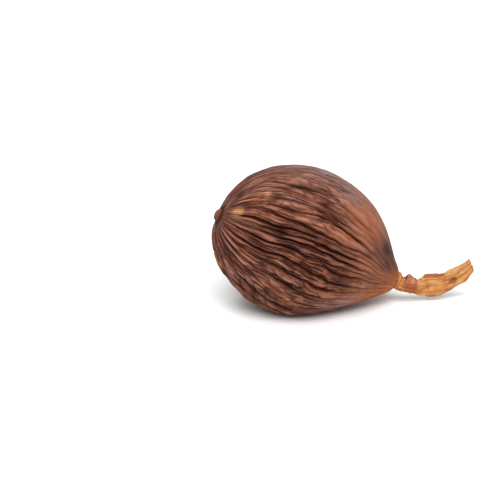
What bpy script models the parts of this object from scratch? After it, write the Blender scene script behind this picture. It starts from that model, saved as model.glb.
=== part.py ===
"""A dried black cardamom pod, lying on its side: the husk, its stalk and the scale at the stalk's foot.

The pod's own axis runs from the blossom end to the stalk. Along it, "share" is 0 at the blossom end
and 1 where the outline would close at the stalk. Round it, "angle" is 0 on the pod's back, which is
uppermost as it lies, and grows towards -Y. All lengths are in metres, and +Z is up.
"""

import math

import bmesh
import bpy
from mathutils import Matrix, Vector, noise

TURN = 2 * math.pi
MM = 0.001

# The husk's main sizes, and how it lies
POD_LENGTH = 37.3 * MM
POD_WIDTH = 27.1 * MM
WIDEST_SHARE = 0.43
BLOSSOM_END_POWER = 2.15  # 2 is a half ellipse
NECK_END_POWER = 0.89  # 1 is half a cosine wave
NECK_SHARE = 0.975
STALK_END_DIP = math.radians(25.9)
AXIS_HEIGHT = 12.0 * MM  # of the middle of the pod's axis over the flat spot
AXIS_AHEAD = 1.9 * MM  # of the middle of the pod's axis from the middle of the flat spot, along +X

# How the husk departs from a turned shape
BLOSSOM_END_DROOP = 1.84 * MM
BACK_RISE = 1.05 * MM
BACK_RISE_SHARE = 0.72
BELLY_SAG = 0.6 * MM
BELLY_SAG_SHARE = 0.38
SIDE_SPREAD = 0.16  # of the rise and the sag, as a share of the length
LOBE_DEPTH = 0.015
LOBES = 3
LOBE_ANGLE = math.radians(34)
SWELL = 0.45 * MM
LUMP = 0.28 * MM
NUB_HEIGHT = 0.5 * MM
NUB_RADIUS = 1.1 * MM
NUB_DIMPLE = 0.35 * MM
NUB_FOOT = 1.3  # how far out the nub's rings of the mesh reach, in its radii
NUB_SLOPE = (0.7, 1.2)  # where its side starts and ends, in its radii
NUB_DIMPLE_PLACE = 2.2  # in its radii
SLENDER_END = 6 * MM  # the furrows fade out where the husk's radius is less than this
FLAT_SPOT_REACH = (3.5 * MM, 7 * MM)  # round the flat spot the furrows are calmer
FLAT_SPOT_CALM = 0.85

# The furrows of the dried skin. On the side that shows best each furrow is given by its angle in degrees and
# its depth, from 0 to 1, at every tenth of the length from 0.1 to 0.8; round the rest they follow a formula.
SEEN_FURROWS = (
    ((18, 0.1), (20, 0.35), (22, 0.35), (24, 0.35), (25, 0.2), (26, 0.05), (27, 0.05), (28, 0.05)),
    ((27, 0.4), (32, 0.8), (34.5, 1.0), (37, 0.5), (41, 0.45), (46, 0.4), (50, 0.1), (52, 0.05)),
    ((37, 0.2), (39.5, 0.55), (44.5, 0.35), (46.5, 0.45), (47.5, 0.35), (52, 0.15), (55, 0.05), (57, 0.05)),
    ((47, 0.2), (49, 0.4), (50.5, 0.55), (51.5, 0.5), (54, 0.5), (57, 0.25), (59.5, 0.1), (62, 0.05)),
    ((55, 0.4), (57, 0.6), (58, 0.4), (55.3, 0.6), (58.5, 0.65), (62, 0.6), (66, 0.35), (69, 0.1)),
    ((61, 0.3), (64.5, 0.7), (66, 0.75), (68, 0.85), (69.5, 0.5), (71, 0.5), (72.5, 0.4), (74, 0.15)),
    ((72.5, 1.0), (75, 1.0), (72, 0.9), (71.8, 0.5), (73, 0.3), (74.5, 0.3), (76.5, 0.2), (79, 0.1)),
    ((77.5, 0.2), (79, 0.8), (77.5, 0.6), (76, 0.7), (76.7, 0.95), (79, 0.9), (81.3, 0.4), (84, 0.1)),
    ((83.5, 0.3), (83.5, 0.7), (81.8, 0.9), (80.7, 0.8), (81, 0.8), (85, 0.8), (88, 0.3), (91, 0.1)),
    ((90.5, 0.9), (90.8, 0.9), (87, 0.9), (88, 0.6), (88, 0.6), (90.3, 0.5), (92.5, 0.4), (95, 0.1)),
    ((95.5, 0.3), (95, 0.3), (91.8, 0.3), (92, 0.4), (92.3, 0.6), (96, 0.7), (98, 0.6), (101, 0.2)),
    ((101, 1.0), (99.5, 1.0), (96.8, 1.0), (97.5, 0.8), (101, 0.8), (105.3, 0.95), (109, 0.5), (112, 0.2)),
    ((110, 0.7), (108, 0.7), (106, 0.7), (106.5, 0.7), (109, 0.7), (113, 0.7), (118, 0.6), (121, 0.2)),
    ((119, 0.8), (118, 0.5), (116, 0.6), (116.5, 0.8), (118, 0.6), (121.5, 0.4), (127, 0.3), (131, 0.15)),
)
SEEN_FROM = 0.1  # the shares of the length that the lists above run between
SEEN_TO = 0.8
FURROWS = 46  # in all
FURROW_DEPTH = 0.85 * MM
FURROW_WIDTH = 0.17  # of the usual space from one furrow to the next
FURROW_WIDTH_CHANGE = 0.5
FURROW_SHARPNESS = 1.3
FURROW_WOBBLE = 0.012  # in radians
FURROW_FADE = (-0.32, 0.12)  # a furrow that isn't listed is missing below this noise, and whole above it
USUAL_SPACE = math.radians(8)
CREST_HEIGHT = 0.30 * MM
# Furrows that aren't listed sway sideways: (waves round the pod, waves along it, which pattern, radians)
SWAYS = ((1.4, 2.6, 0, 0.12), (4, 5, 3, 0.05), (9, 11, 3, 0.018))
# The shoulder near the stalk, on the back, is smooth, and the furrows get shallow towards the neck
SHOULDER_SHARE = 0.68
SHOULDER_LENGTH = 0.17
SHOULDER_ANGLE = math.radians(20)
SHOULDER_CALM = 0.72
NECK_FADE = (0.80, 0.97)
NECK_CALM = 0.5

# The mesh
COLUMNS_PER_FURROW = 4
NUB_RINGS = 3
HUSK_RINGS = 31
STALK_COLUMNS = 24
STALK_RINGS = 28

# The stalk: places along its middle as (ahead of the neck, across, above it, half height, half depth)
JOINT_GAP = 0.3 * MM
STALK_STATIONS = (
    (0.0, 0.0, 0.0, 1.2, 1.2),
    (0.9, 0.0, -0.5, 1.15, 1.1),
    (2.0, 0.0, -0.95, 0.95, 0.95),
    (3.2, 0.05, -1.2, 1.1, 0.95),
    (4.5, 0.1, -1.28, 1.45, 0.95),
    (6.0, 0.15, -1.05, 1.93, 0.95),
    (7.8, 0.1, -1.0, 1.85, 0.9),
    (9.7, 0.0, -0.43, 1.7, 0.9),
    (11.6, -0.2, 0.65, 1.57, 0.85),
    (12.7, -0.4, 1.35, 1.4, 0.75),
    (13.95, -0.6, 2.5, 1.1, 0.55),
)
STALK_RIBS = 9
STALK_RIB_HEIGHT = 0.12 * MM
STALK_TROUGH = 0.45 * MM
STALK_RAG = 0.35 * MM

# The scale at the stalk's foot
SCALE_START = 0.125  # shares of the stalk's length
SCALE_END = 0.345
SCALE_PEAK_LEAN = 0.08
SCALE_GAP = 0.2 * MM
SCALE_THICKNESS = 0.6 * MM
SCALE_LIFT = 0.85 * MM
SCALE_FROM = math.radians(-50)  # round the stalk from its top, towards -Y
SCALE_TO = math.radians(140)
SCALE_PEAK_SPREAD = math.radians(45)

HUSK_COLOUR = (0.105, 0.042, 0.024)
STALK_COLOUR = (0.46, 0.235, 0.095)
SCALE_COLOUR = (0.27, 0.115, 0.062)


def ease(low, high, value):
    """0 below low, 1 above high, and a smooth step between."""
    t = min(1.0, max(0.0, (value - low) / (high - low)))
    return t * t * (3 - 2 * t)


def bump(middle, spread, value):
    """A smooth hill of height 1 at middle."""
    return math.exp(-(((value - middle) / spread) ** 2))


def drift(around, along, offset, angle, share):
    """Smooth noise over the husk: around is how fast it changes round the pod, along how fast lengthwise."""
    return noise.noise(
        Vector((around * math.cos(angle) + offset, around * math.sin(angle), along * share))
    )


def outline(share):
    """The husk's radius as a part of its greatest: an ellipse to the blossom end, a cone to the neck."""
    if share < WIDEST_SHARE:
        return math.sqrt(max(0.0, 1 - ((WIDEST_SHARE - share) / WIDEST_SHARE) ** BLOSSOM_END_POWER))
    return math.cos(math.pi / 2 * (share - WIDEST_SHARE) / (1 - WIDEST_SHARE)) ** NECK_END_POWER


def share_at(radius):
    """The share of the length at which the blossom end has this radius."""
    return WIDEST_SHARE * (1 - (1 - (radius / (POD_WIDTH / 2)) ** 2) ** (1 / BLOSSOM_END_POWER))


def curve(stations, share):
    """The smooth curve through the stations, each a tuple of numbers, at this share of the way along it."""
    last = len(stations) - 1
    reach = min(1.0, max(0.0, share)) * last
    start = min(int(reach), last - 1)
    t = reach - start
    before, a, b, after = (stations[min(last, max(0, start + k))] for k in (-1, 0, 1, 2))
    return [
        0.5 * (2 * q + (r - p) * t + (2 * p - 5 * q + 4 * r - w) * t**2 + (3 * q - p - 3 * r + w) * t**3)
        for p, q, r, w in zip(before, a, b, after)
    ]


def furrow_line(number, share):
    """(angle, depth) of a furrow at this share of the length. The depth is from 0 to 1."""
    turns, number = divmod(number, FURROWS)
    last_seen = len(SEEN_FURROWS) - 1
    if number <= last_seen:
        angle, depth = curve(SEEN_FURROWS[number], (share - SEEN_FROM) / (SEEN_TO - SEEN_FROM))
        wobble = FURROW_WOBBLE * noise.noise(Vector((number * 0.6, 9 * share, 2.0)))
        return math.radians(angle) + wobble + turns * TURN, max(0.0, depth)
    low = furrow_line(last_seen, share)[0]
    high = furrow_line(FURROWS, share)[0]
    part = (number - last_seen) / (FURROWS - last_seen)
    angle = low + (high - low) * part
    sway = sum(far * drift(around, along, offset, angle, share) for around, along, offset, far in SWAYS)
    depth = ease(*FURROW_FADE, noise.noise(Vector((number * 3.17, 3.6 * share, number * 0.71))))
    angle -= sway * math.sin(math.pi * part) ** 0.5
    return angle + turns * TURN, depth * ridge_strength(angle, share)


def ridge_strength(angle, share):
    """1 where the skin is fully wrinkled, less on the smooth shoulder and towards the neck."""
    shoulder = bump(SHOULDER_SHARE, SHOULDER_LENGTH, share) * ease(0, 0.85, math.cos(angle - SHOULDER_ANGLE))
    whole = 0.9 + 0.6 * drift(1.3, 2.6, 7, angle, share)
    return whole * (1 - SHOULDER_CALM * shoulder) * (1 - NECK_CALM * ease(*NECK_FADE, share))


def relief(phase, share):
    """(angle, how far the husk's skin stands out from its smooth form) at a place among the furrows."""
    lower = math.floor(phase)
    part = phase - lower
    lines = [furrow_line(lower, share), furrow_line(lower + 1, share)]
    space = lines[1][0] - lines[0][0]
    angle = lines[0][0] + space * part
    out = 0.0
    for line, apart in zip(lines, (part, 1 - part)):
        width = 1 + FURROW_WIDTH_CHANGE * noise.noise(Vector((line[0] * 9, 5 * share, 3.3)))
        width *= FURROW_WIDTH * USUAL_SPACE / space
        out -= FURROW_DEPTH * line[1] * math.exp(-((apart / width) ** FURROW_SHARPNESS))
    wrinkled = ridge_strength(angle, share)
    crest = 0.5 - 0.5 * math.cos(TURN * part)
    out += wrinkled * CREST_HEIGHT * crest * space / USUAL_SPACE
    out += wrinkled * LUMP * drift(5, 7, 4, angle, share) + SWELL * drift(1.5, 2.5, 4, angle, share)
    return angle, out


def laid_down(ahead, across, above):
    """A point given along the pod's own axis, turned and moved to where the pod lies."""
    return Matrix.Rotation(STALK_END_DIP, 3, "Y") @ Vector((ahead, across, above)) + Vector(
        (AXIS_AHEAD, 0, AXIS_HEIGHT)
    )


def husk_point(share, angle, out):
    """The place on the husk at this share and angle, moved out from its smooth form."""
    radius = POD_WIDTH / 2 * outline(share) * (1 + LOBE_DEPTH * math.cos(LOBES * (angle - LOBE_ANGLE)))
    radius += BELLY_SAG * bump(BELLY_SAG_SHARE, SIDE_SPREAD, share) * max(0.0, -math.cos(angle))
    radius += out
    rise = BACK_RISE * bump(BACK_RISE_SHARE, SIDE_SPREAD, share)
    if share < WIDEST_SHARE:
        rise -= BLOSSOM_END_DROOP * (1 - outline(share))
    return laid_down(
        (share - 0.5) * POD_LENGTH, -radius * math.sin(angle), radius * math.cos(angle) + rise
    )


def shaped_sphere(name, columns, rings, place):
    """A UV sphere whose every vertex is moved to place(v, column): v is 0 at one pole and 1 at the other."""
    shape = bmesh.new()
    bmesh.ops.create_uvsphere(shape, u_segments=columns, v_segments=rings, radius=1)
    for vertex in shape.verts:
        v = math.acos(max(-1.0, min(1.0, vertex.co.z))) / math.pi
        column = math.atan2(vertex.co.y, vertex.co.x) / TURN * columns
        vertex.co = place(v, column)
    bmesh.ops.recalc_face_normals(shape, faces=shape.faces)
    mesh = bpy.data.meshes.new(name)
    shape.to_mesh(mesh)
    shape.free()
    mesh.shade_smooth()
    made = bpy.data.objects.new(name, mesh)
    return made


def material(name, colour, roughness):
    """A plain Principled material."""
    made = bpy.data.materials.new(name)
    made.use_nodes = True
    shader = made.node_tree.nodes["Principled BSDF"]
    shader.inputs["Base Color"].default_value = (*colour, 1)
    shader.inputs["Roughness"].default_value = roughness
    return made


def cut_flat_spot(husk, helpers):
    """Cuts the belly off level, where the pod rests."""
    bpy.ops.mesh.primitive_cube_add(size=POD_LENGTH, location=(0, 0, -POD_LENGTH / 2))
    cutter = bpy.context.object
    cutter.name = "rest_cutter"
    cutter.hide_render = True
    cutter.display_type = "WIRE"
    bpy.context.collection.objects.unlink(cutter)
    helpers.objects.link(cutter)
    cut = husk.modifiers.new("flat spot", "BOOLEAN")
    cut.operation = "DIFFERENCE"
    cut.object = cutter


def ring_share(ring):
    """The share of the length at which a ring of the husk's mesh lies: the first few go round the nub."""
    if ring <= NUB_RINGS:
        return share_at(NUB_FOOT * NUB_RADIUS * ring / NUB_RINGS)
    first = share_at(NUB_FOOT * NUB_RADIUS)
    t = min(1.0, (ring - NUB_RINGS) / (HUSK_RINGS - 1 - NUB_RINGS))
    return first + (NECK_SHARE - first) * (1 - math.cos(math.pi * t)) / 2


def make_husk():
    """The whole husk, with its ridges and the withered nub at the blossom end."""

    def place(v, column):
        share = ring_share(v * HUSK_RINGS)
        if v > 0.9999:
            return husk_point(NECK_SHARE, 0, -POD_WIDTH / 2 * outline(NECK_SHARE))
        phase = column / COLUMNS_PER_FURROW
        angle, out = relief(phase, share)
        smooth = husk_point(share, angle, 0)
        near_rest = 1 - ease(*FLAT_SPOT_REACH, math.hypot(smooth.x, smooth.y))
        calm = FLAT_SPOT_CALM * near_rest if smooth.z < POD_WIDTH / 4 else 0
        radius = POD_WIDTH / 2 * outline(share)
        point = husk_point(share, angle, out * ease(0, SLENDER_END, radius) * (1 - calm))
        nub = NUB_HEIGHT * (1 - ease(*NUB_SLOPE, radius / NUB_RADIUS))
        dimple = NUB_DIMPLE * bump(NUB_DIMPLE_PLACE, 1, radius / NUB_RADIUS)
        return point - (laid_down(1, 0, 0) - laid_down(0, 0, 0)) * (nub - dimple)

    return shaped_sphere("husk", FURROWS * COLUMNS_PER_FURROW, HUSK_RINGS, place)


def stalk_station(share):
    """(middle, half height, half depth) of the stalk at this share of its length."""
    at = curve(STALK_STATIONS, share)
    neck = husk_point(NECK_SHARE, 0, -POD_WIDTH / 2 * outline(NECK_SHARE))
    ahead = (laid_down(1, 0, 0) - laid_down(0, 0, 0)) * JOINT_GAP
    return neck + ahead + Vector(at[:3]) * MM, at[3] * MM, at[4] * MM


def stalk_frame(share):
    """(middle, along, up, aside, half height, half depth) of the stalk at this share of its length."""
    middle, height, depth = stalk_station(share)
    step = 0.01
    along = (stalk_station(min(1, share + step))[0] - stalk_station(max(0, share - step))[0]).normalized()
    if share < step:
        along = (laid_down(1, 0, 0) - laid_down(0, 0, 0)).normalized()
    aside = Vector((0, -1, 0))
    aside = (aside - along * aside.dot(along)).normalized()
    up = aside.cross(along)
    return middle, along, up, aside, height, depth


def stalk_point(share, angle, out=0.0):
    """The place on the stalk's skin, ribbed lengthwise, with a trough on its open face and a ragged edge."""
    middle, _, up, aside, height, depth = stalk_frame(share)
    grown = ease(0.15, 0.45, share)
    ribs = STALK_RIB_HEIGHT * math.cos(STALK_RIBS * angle + 1.5 * math.sin(5 * share)) * ease(0, 0.1, share)
    trough = STALK_TROUGH * grown * ease(0.55, 1.0, math.sin(angle))
    rag = STALK_RAG * grown * noise.noise(Vector((2 * math.cos(angle), 2 * math.sin(angle), 11 * share)))
    high = (height + ribs + rag + out) * math.cos(angle)
    deep = (depth + ribs + out - trough) * math.sin(angle)
    return middle + up * high + aside * deep


def make_stalk():
    """The fruit stalk, torn off the plant at its far end."""

    def place(v, column):
        share = min(1.0, max(0.0, (v * STALK_RINGS - 1) / (STALK_RINGS - 2)))
        if v < 0.0001 or v > 0.9999:
            return stalk_frame(share)[0]
        return stalk_point(share, TURN * column / STALK_COLUMNS)

    return shaped_sphere("stalk", STALK_COLUMNS, STALK_RINGS, place)


def make_bract_scale():
    """The withered scale that half wraps the stalk's foot: on top, its edge towards the pod stands up."""
    shape = bmesh.new()
    bmesh.ops.create_grid(shape, x_segments=18, y_segments=8, size=1)
    for vertex in shape.verts:
        u, v = (vertex.co.x + 1) / 2, (vertex.co.y + 1) / 2
        angle = SCALE_FROM + u * (SCALE_TO - SCALE_FROM)
        peak = bump(0, SCALE_PEAK_SPREAD, angle) * (1 - v)
        share = SCALE_START + v * (SCALE_END - SCALE_START) + SCALE_PEAK_LEAN * peak
        vertex.co = stalk_point(share, angle, SCALE_GAP + STALK_RIB_HEIGHT + SCALE_LIFT * peak)
    mesh = bpy.data.meshes.new("bract_scale")
    shape.to_mesh(mesh)
    shape.free()
    made = bpy.data.objects.new("bract_scale", mesh)
    shell = made.modifiers.new("thickness", "SOLIDIFY")
    shell.thickness = SCALE_THICKNESS
    shell.offset = 1
    return made


def main():
    for old in list(bpy.data.objects):
        bpy.data.objects.remove(old)
    pod = bpy.data.collections.new("black_cardamom_pod")
    helpers = bpy.data.collections.new("cutters")
    helpers.hide_render = True
    for collection in (pod, helpers):
        bpy.context.scene.collection.children.link(collection)
    pieces = (
        (make_husk(), material("husk", HUSK_COLOUR, 0.5)),
        (make_stalk(), material("stalk", STALK_COLOUR, 0.7)),
        (make_bract_scale(), material("bract scale", SCALE_COLOUR, 0.6)),
    )
    for piece, finish in pieces:
        piece.data.materials.append(finish)
        pod.objects.link(piece)
    cut_flat_spot(pieces[0][0], helpers)


main()
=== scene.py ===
"""The looks of a dried black cardamom pod that lies on its side.

The pod's own axis runs from the blossom end to the stalk. Along it, "share" is 0 at the blossom end and 1
where the outline would close at the stalk. Round it, "angle" is 0 on the pod's back, which is uppermost, and
grows towards -Y, where the camera is. All lengths are in metres, and +Z is up.
"""

from __future__ import annotations

import logging
import math
from dataclasses import dataclass, field
from enum import Enum

import bpy
import numpy as np
from mathutils import Matrix, Vector, noise


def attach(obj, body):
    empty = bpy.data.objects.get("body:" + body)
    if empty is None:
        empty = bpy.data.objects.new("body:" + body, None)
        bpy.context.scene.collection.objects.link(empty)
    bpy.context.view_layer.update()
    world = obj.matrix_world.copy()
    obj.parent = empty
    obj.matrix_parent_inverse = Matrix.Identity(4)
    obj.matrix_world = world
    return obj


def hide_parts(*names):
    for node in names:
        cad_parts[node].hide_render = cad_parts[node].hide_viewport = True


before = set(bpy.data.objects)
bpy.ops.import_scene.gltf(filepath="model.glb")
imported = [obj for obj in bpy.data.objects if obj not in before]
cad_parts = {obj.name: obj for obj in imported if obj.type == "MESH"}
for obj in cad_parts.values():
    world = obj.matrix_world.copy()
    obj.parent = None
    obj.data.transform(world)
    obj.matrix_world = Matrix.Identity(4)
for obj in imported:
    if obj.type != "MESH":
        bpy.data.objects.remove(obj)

LOG = logging.getLogger("black_cardamom_pod")
TURN = 2 * math.pi
MM = 0.001
ROOT = "root"
DOUBLES_WITHIN = 1e-7
# The sockets of the Mix node for two colours, which share their names with those for two numbers.
FIRST_COLOUR, SECOND_COLOUR, MIXED_COLOUR = 6, 7, 2

Colour = tuple[float, float, float]
Span = tuple[float, float]
Marks = dict[str, list[float]]
Socket = bpy.types.NodeSocket


def ease(low: float, high: float, value: float) -> float:
    """A smooth step.

    Args:
        low: where the step starts.
        high: where the step ends.
        value: where it is read.

    Returns:
        0 below low, 1 above high, and a smooth rise between.
    """
    t = min(1.0, max(0.0, (value - low) / (high - low)))
    return t * t * (3 - 2 * t)


def bump(middle: float, spread: float, value: float) -> float:
    """A smooth hill.

    Args:
        middle: where the hill stands.
        spread: how wide it is.
        value: where it is read.

    Returns:
        1 at the middle, falling to 0 on both sides.
    """
    return math.exp(-(((value - middle) / spread) ** 2))


def turned(angle: float) -> float:
    """The same angle between minus half a turn and half a turn."""
    return (angle + math.pi) % TURN - math.pi


def from_least(least: float, part: float) -> float:
    """From least to 1, as the part goes from 0 to 1."""
    return least + (1 - least) * part


def down(height: float) -> float:
    """How far down a sphere of radius 1 a height lies, from 0 at its top pole to 1 at the lower one."""
    return math.acos(max(-1.0, min(1.0, height))) / math.pi


def on_tube(radius: float, angle: float, along: float) -> Vector:
    """A place on a plain tube. The streaks of a finish follow its length."""
    return Vector((math.cos(angle) * radius, math.sin(angle) * radius, along))


def wander(seed: float, waves: float, layer: float) -> float:
    """Smooth noise along a line, between about -1 and 1: the seed and the layer pick the pattern."""
    return noise.noise(Vector((seed, waves, layer)))


@dataclass(frozen=True)
class Pattern:
    """Smooth noise over a long round form, with no seam.

    It changes so fast round the form and along it, and the offset picks another pattern.
    """

    around: float
    along: float
    offset: float

    def at(self, angle: float, share: float) -> float:
        """The noise at a place.

        Args:
            angle: the place round the form.
            share: the place along it.

        Returns:
            A number between about -1 and 1.
        """
        x = self.around * math.cos(angle) + self.offset
        y = self.around * math.sin(angle)
        return noise.noise(Vector((x, y, self.along * share)))

    def lines(self, angle: float, share: float) -> float:
        """1 along thin winding lines, falling to about -1 between them."""
        return 1 - 2 * abs(self.at(angle, share))


def select_only(piece: bpy.types.Object) -> None:
    """Makes a piece the only selected object, and the active one.

    Args:
        piece: the piece.
    """
    bpy.ops.object.select_all(action="DESELECT")
    piece.select_set(True)
    bpy.context.view_layer.objects.active = piece


def named(piece: bpy.types.Object, name: str) -> bpy.types.Object:
    """Gives a piece and its mesh their name.

    Args:
        piece: the piece.
        name: the name.

    Returns:
        The piece.
    """
    piece.name = name
    piece.data.name = name
    return piece


def finished(piece: bpy.types.Object, material: bpy.types.Material) -> bpy.types.Object:
    """Merges doubles, turns every face outwards, smooths the shading and adds the material.

    Args:
        piece: the shaped piece.
        material: its material.

    Returns:
        The piece.
    """
    select_only(piece)
    bpy.ops.object.mode_set(mode="EDIT")
    bpy.ops.mesh.select_all(action="SELECT")
    bpy.ops.mesh.remove_doubles(threshold=DOUBLES_WITHIN)
    bpy.ops.mesh.normals_make_consistent(inside=False)
    bpy.ops.object.mode_set(mode="OBJECT")
    bpy.ops.object.shade_smooth()
    piece.data.materials.append(material)
    return piece


def keep(piece: bpy.types.Object, marks: Marks, grain: list[Vector]) -> None:
    """Keeps the marks and the grain of every vertex, for a finish to read.

    Args:
        piece: the object whose mesh keeps them.
        marks: under each name, one number for each vertex, in the mesh's order.
        grain: one place for each vertex, on a plain tube whose length the streaks follow.
    """
    for name, values in marks.items():
        kept = piece.data.attributes.new(name, "FLOAT", "POINT")
        kept.data.foreach_set("value", np.asarray(values, np.float32))
    kept = piece.data.attributes.new("grain", "FLOAT_VECTOR", "POINT")
    kept.data.foreach_set("vector", np.asarray(grain, np.float32).reshape(-1))


@dataclass(frozen=True)
class Grain:
    """Noise in a finish: its features for each metre, and how far they are drawn out lengthwise."""

    scale: float
    along: float = 1.0
    detail: float = 3.0
    rough: float = 0.6


@dataclass(frozen=True)
class Reach:
    """The numbers from low to high, and what they are turned into, from least to most."""

    low: float
    high: float
    least: float = 0.0
    most: float = 1.0


class Weave:
    """Builds a material's nodes and links them, one call for each step."""

    def __init__(self, name: str) -> None:
        """Starts a Principled material.

        Args:
            name: the material's name.
        """
        self.material = bpy.data.materials.new(name)
        self.material.use_nodes = True
        self.tree = self.material.node_tree
        self.shader = self.tree.nodes["Principled BSDF"]

    def link(self, source: Socket, target: Socket) -> None:
        """Joins an output to an input."""
        self.tree.links.new(source, target)

    def give(self, target: Socket, value: object) -> None:
        """Feeds an input.

        Args:
            target: the input.
            value: an output to link to it, a number, or a colour.
        """
        if isinstance(value, Socket):
            self.link(value, target)
        elif isinstance(value, tuple) and target.type == "RGBA":
            target.default_value = (*value, 1.0)
        else:
            target.default_value = value

    def place(self) -> Socket:
        """The Object coordinates."""
        return self.tree.nodes.new("ShaderNodeTexCoord").outputs["Object"]

    def kept(self, name: str, output: str = "Fac") -> Socket:
        """What the mesh keeps for each vertex.

        Args:
            name: the name that it is kept under.
            output: Fac for a number, Vector for a vector.

        Returns:
            The number or the vector.
        """
        node = self.tree.nodes.new("ShaderNodeAttribute")
        node.attribute_name = name
        return node.outputs[output]

    def clouds(self, where: Socket, grain: Grain) -> Socket:
        """Noise, drawn out along the third coordinate.

        Args:
            where: the coordinates that it reads.
            grain: how fine it is, and how far it is drawn out.

        Returns:
            A number round 0.5.
        """
        mapping = self.tree.nodes.new("ShaderNodeMapping")
        mapping.inputs["Scale"].default_value = (1.0, 1.0, grain.along)
        self.link(where, mapping.inputs["Vector"])
        node = self.tree.nodes.new("ShaderNodeTexNoise")
        node.inputs["Scale"].default_value = grain.scale
        node.inputs["Detail"].default_value = grain.detail
        node.inputs["Roughness"].default_value = grain.rough
        self.link(mapping.outputs["Vector"], node.inputs["Vector"])
        return node.outputs["Fac"]

    def spread(self, value: Socket, reach: Reach) -> Socket:
        """Stretches the numbers of a reach, and clips them at its ends.

        Args:
            value: the number.
            reach: which numbers, and what they are turned into.

        Returns:
            The stretched number.
        """
        node = self.tree.nodes.new("ShaderNodeMapRange")
        node.inputs["From Min"].default_value = reach.low
        node.inputs["From Max"].default_value = reach.high
        node.inputs["To Min"].default_value = reach.least
        node.inputs["To Max"].default_value = reach.most
        self.link(value, node.inputs["Value"])
        return node.outputs["Result"]

    def step(self, kind: str, first: object, second: object) -> Socket:
        """One step of arithmetic.

        Args:
            kind: Blender's name for it, such as MULTIPLY.
            first: an output or a number.
            second: an output or a number.

        Returns:
            The result.
        """
        node = self.tree.nodes.new("ShaderNodeMath")
        node.operation = kind
        self.give(node.inputs[0], first)
        self.give(node.inputs[1], second)
        return node.outputs[0]

    def times(self, first: object, second: object) -> Socket:
        """One number times another."""
        return self.step("MULTIPLY", first, second)

    def plus(self, first: object, second: object) -> Socket:
        """One number and another."""
        return self.step("ADD", first, second)

    def mixed(self, share: object, first: object, second: object) -> Socket:
        """Mixes two colours.

        Args:
            share: how much of the second, an output or a number.
            first: an output or a colour.
            second: an output or a colour.

        Returns:
            The mixed colour.
        """
        node = self.tree.nodes.new("ShaderNodeMix")
        node.data_type = "RGBA"
        self.give(node.inputs["Factor"], share)
        self.give(node.inputs[FIRST_COLOUR], first)
        self.give(node.inputs[SECOND_COLOUR], second)
        return node.outputs[MIXED_COLOUR]

    def ramp(self, value: Socket, stops: tuple[tuple[float, Colour], ...]) -> Socket:
        """Turns a number into a colour.

        Args:
            value: the number.
            stops: (number, colour) pairs, lowest first.

        Returns:
            The colour.
        """
        node = self.tree.nodes.new("ShaderNodeValToRGB")
        elements = node.color_ramp.elements
        while len(elements) < len(stops):
            elements.new(0.5)
        for element, (position, colour) in zip(elements, stops):
            element.position = position
            element.color = (*colour, 1.0)
        self.link(value, node.inputs["Fac"])
        return node.outputs["Color"]

    def dress(self, colour: Socket, roughness: object, gloss: float) -> None:
        """Gives the shader its colour and its shine.

        Args:
            colour: the colour.
            roughness: how dull the surface is, an output or a number.
            gloss: how strongly it shines.
        """
        self.link(colour, self.shader.inputs["Base Color"])
        self.give(self.shader.inputs["Roughness"], roughness)
        self.shader.inputs["Specular IOR Level"].default_value = gloss

    def relief(self, height: Socket, depth: float, strength: float) -> None:
        """Bumps the surface.

        Args:
            height: the height, from 0 to 1.
            depth: what a height of 1 stands for.
            strength: how much of the bump is kept.
        """
        node = self.tree.nodes.new("ShaderNodeBump")
        node.inputs["Strength"].default_value = strength
        node.inputs["Distance"].default_value = depth
        self.link(height, node.inputs["Height"])
        self.link(node.outputs["Normal"], self.shader.inputs["Normal"])


# Each furrow of the side that shows best: its angle in degrees and its depth, from 0 to 1, at every tenth of
# the length from 0.1 to 0.8. Round the rest of the pod the furrows follow a formula.
SEEN_FURROWS: tuple[tuple[Span, ...], ...] = (
    ((18, 0.1), (20, 0.35), (22, 0.35), (24, 0.35), (25, 0.2), (26, 0.05), (27, 0.05), (28, 0.05)),
    ((27, 0.4), (32, 0.8), (34.5, 1.0), (37, 0.5), (41, 0.45), (46, 0.4), (50, 0.1), (52, 0.05)),
    ((37, 0.2), (39.5, 0.55), (44.5, 0.35), (46.5, 0.45), (47.5, 0.35), (52, 0.15), (55, 0.05), (57, 0.05)),
    ((47, 0.2), (49, 0.4), (50.5, 0.55), (51.5, 0.5), (54, 0.5), (57, 0.25), (59.5, 0.1), (62, 0.05)),
    ((55, 0.4), (57, 0.6), (58, 0.4), (55.3, 0.6), (58.5, 0.65), (62, 0.6), (66, 0.35), (69, 0.1)),
    ((61, 0.3), (64.5, 0.7), (66, 0.75), (68, 0.85), (69.5, 0.5), (71, 0.5), (72.5, 0.4), (74, 0.15)),
    ((72.5, 1.0), (75, 1.0), (72, 0.9), (71.8, 0.5), (73, 0.3), (74.5, 0.3), (76.5, 0.2), (79, 0.1)),
    ((77.5, 0.2), (79, 0.8), (77.5, 0.6), (76, 0.7), (76.7, 0.95), (79, 0.9), (81.3, 0.4), (84, 0.1)),
    ((83.5, 0.3), (83.5, 0.7), (81.8, 0.9), (80.7, 0.8), (81, 0.8), (85, 0.8), (88, 0.3), (91, 0.1)),
    ((90.5, 0.9), (90.8, 0.9), (87, 0.9), (88, 0.6), (88, 0.6), (90.3, 0.5), (92.5, 0.4), (95, 0.1)),
    ((95.5, 0.3), (95, 0.3), (91.8, 0.3), (92, 0.4), (92.3, 0.6), (96, 0.7), (98, 0.6), (101, 0.2)),
    ((101, 1.0), (99.5, 1.0), (96.8, 1.0), (97.5, 0.8), (101, 0.8), (105.3, 0.95), (109, 0.5), (112, 0.2)),
    ((110, 0.7), (108, 0.7), (106, 0.7), (106.5, 0.7), (109, 0.7), (113, 0.7), (118, 0.6), (121, 0.2)),
    ((119, 0.8), (118, 0.5), (116, 0.6), (116.5, 0.8), (118, 0.6), (121.5, 0.4), (127, 0.3), (131, 0.15)),
)


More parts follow.
